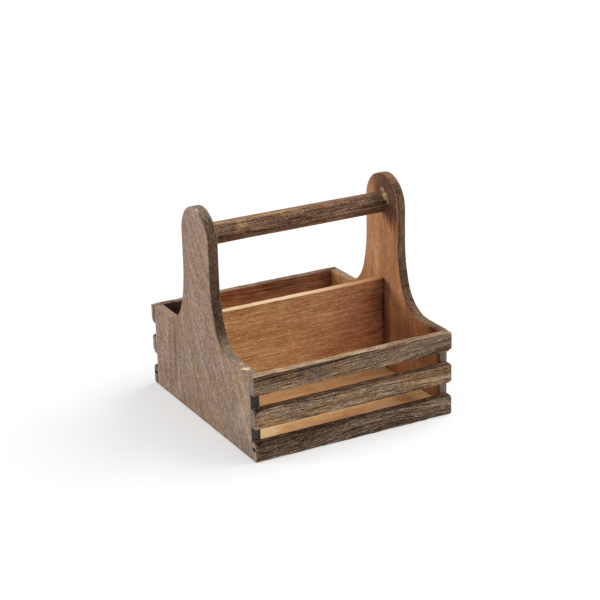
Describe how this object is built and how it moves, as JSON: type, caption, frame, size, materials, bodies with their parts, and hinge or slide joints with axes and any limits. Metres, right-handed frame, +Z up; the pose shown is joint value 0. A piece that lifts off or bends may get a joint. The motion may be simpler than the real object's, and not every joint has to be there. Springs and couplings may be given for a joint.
{
  "type": "utensil caddy",
  "caption": "Open wooden table caddy with slatted sides, a centre divider and a round bar handle between two shaped end panels.",
  "frame": {"origin": "middle of the footprint, on the table surface", "axes": "+X along the handle and the slats, +Y from front to rear, +Z up"},
  "size_m": [0.2, 0.212, 0.203],
  "materials": {
    "end_panel_wood": "sanded hardwood with a grey-brown wash outside, warm brown inside, matt",
    "slat_wood": "deeply brushed raised grain with a dark brown wash and grey and tan highlights, matt",
    "floor_wood": "bare light orange-tan wood, fine straight grain, matt",
    "divider_wood": "orange-brown wood with fine lengthwise fibres and a pale top edge, matt",
    "dowel_wood": "turned hardwood, dark brown wash rubbed through to gold along the top, low sheen",
    "brad_steel": "plain steel brad, dulled"
  },
  "bodies": {
    "root": {"left_end_panel": "end_panel_wood", "right_end_panel": "end_panel_wood", "floor_panel": "floor_wood", "divider": "divider_wood", "handle_dowel": "dowel_wood", "front_slat_bottom": "slat_wood", "front_slat_middle": "slat_wood", "front_slat_top": "slat_wood", "rear_slat_bottom": "slat_wood", "rear_slat_middle": "slat_wood", "rear_slat_top": "slat_wood", "front_slat_brads": "brad_steel", "rear_slat_brads": "brad_steel"}
  },
  "joints": []
}
